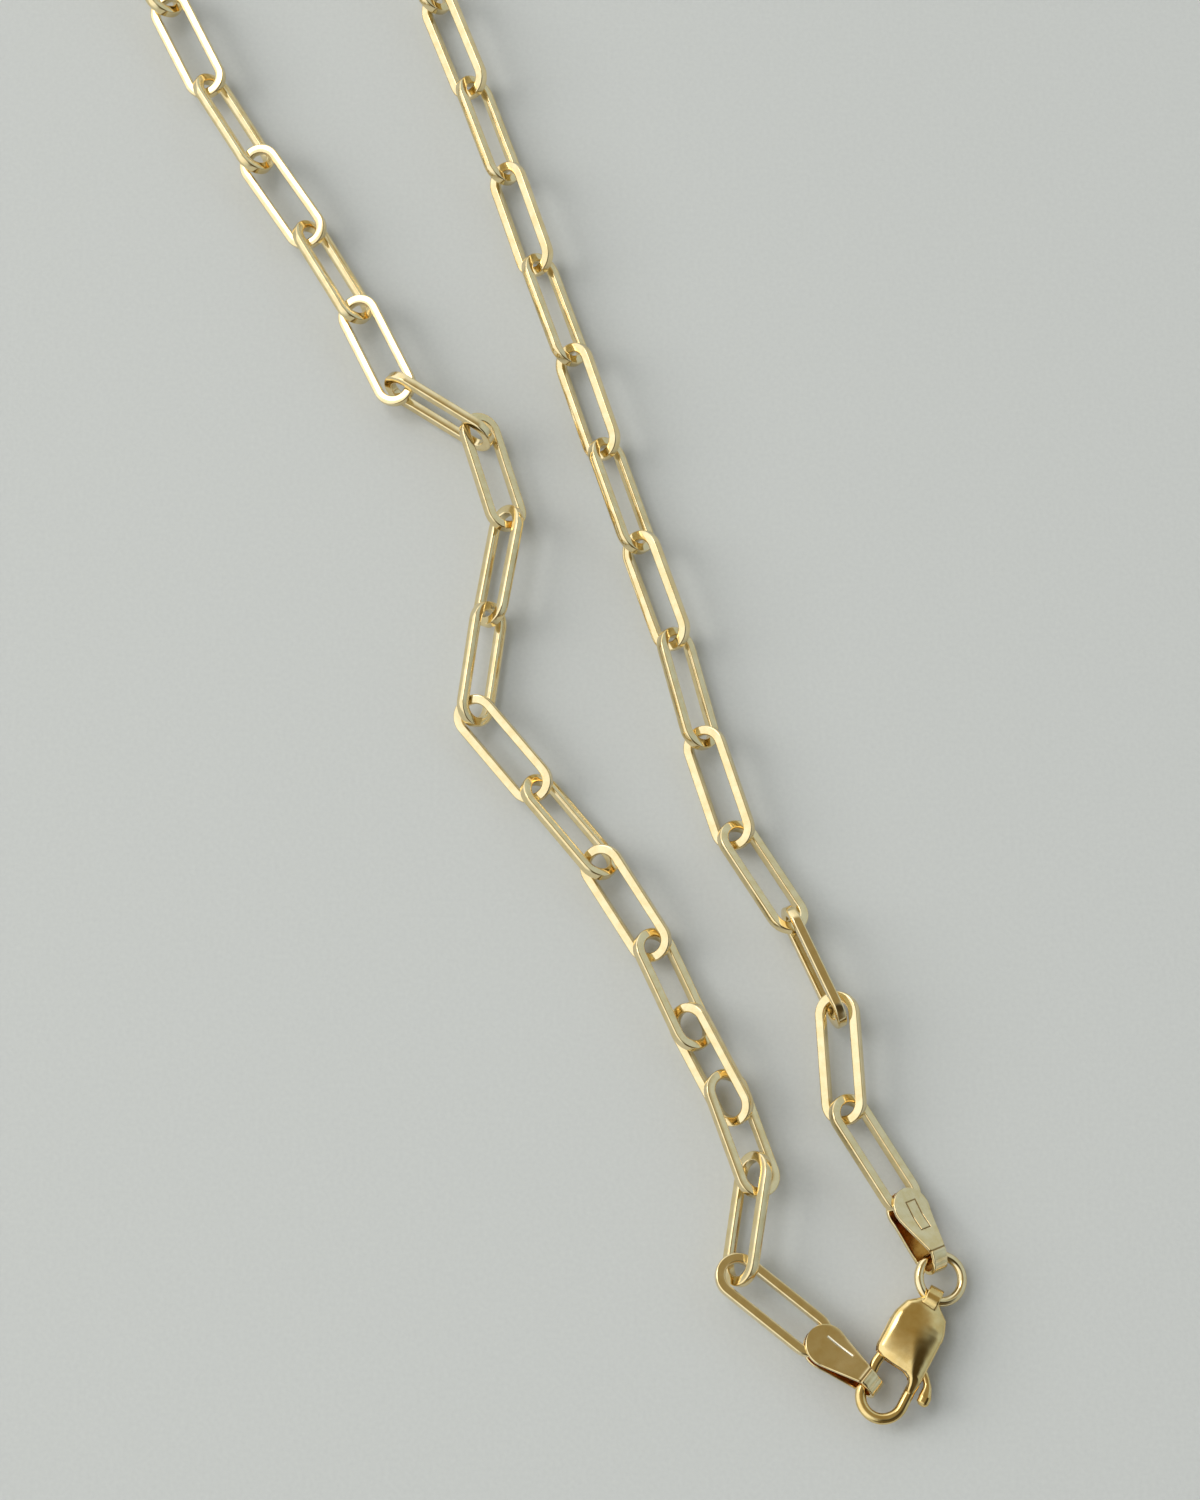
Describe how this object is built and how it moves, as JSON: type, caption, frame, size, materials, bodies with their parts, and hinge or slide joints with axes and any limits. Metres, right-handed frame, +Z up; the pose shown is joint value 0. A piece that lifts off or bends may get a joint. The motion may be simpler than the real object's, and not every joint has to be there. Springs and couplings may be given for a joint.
{
  "type": "paperclip chain necklace",
  "caption": "Paperclip chain necklace: long oval links of square wire, folded end tabs, a jump ring and a lobster clasp with a sprung lever.",
  "frame": {"origin": "centre of the closed necklace in plan, on the surface that it lies on", "axes": "+Z up from the surface, +Y away from the viewer of the picture, along the necklace's length"},
  "size_m": [0.0862, 0.177, 0.0041],
  "materials": {
    "gold": "polished yellow gold, rubbed to satin on the tabs and clasp"
  },
  "bodies": {
    "necklace": {"clasp_body": "gold", "clasp_pin": "gold", "jump_ring": "gold", "ring_end_tab": "gold", "hook_end_tab": "gold", "link_01": "gold", "link_02": "gold", "link_03": "gold", "link_04": "gold", "link_05": "gold", "link_06": "gold", "link_07": "gold", "link_08": "gold", "link_09": "gold", "link_10": "gold", "link_11": "gold", "link_12": "gold", "link_13": "gold", "link_14": "gold", "link_15": "gold", "link_16": "gold", "link_17": "gold", "link_18": "gold", "link_19": "gold", "link_20": "gold", "link_21": "gold", "link_22": "gold", "link_23": "gold", "link_24": "gold", "link_25": "gold", "link_26": "gold", "link_27": "gold", "link_28": "gold", "link_29": "gold", "link_30": "gold", "link_31": "gold", "link_32": "gold", "link_33": "gold", "link_34": "gold", "link_35": "gold", "link_36": "gold", "link_37": "gold", "link_38": "gold", "link_39": "gold", "link_40": "gold", "link_41": "gold", "link_42": "gold"},
    "trigger": {"clasp_lever": "gold"}
  },
  "joints": [
    {"name": "trigger_hinge", "type": "hinge", "parent": "necklace", "child": "trigger", "pos_m": [0.03805, -0.08185, 0.00155], "axis": [0, 0, 1], "range_deg": [0, 22], "stiffness_Nm_per_rad": 0.0005, "springref_deg": -17.19}
  ]
}
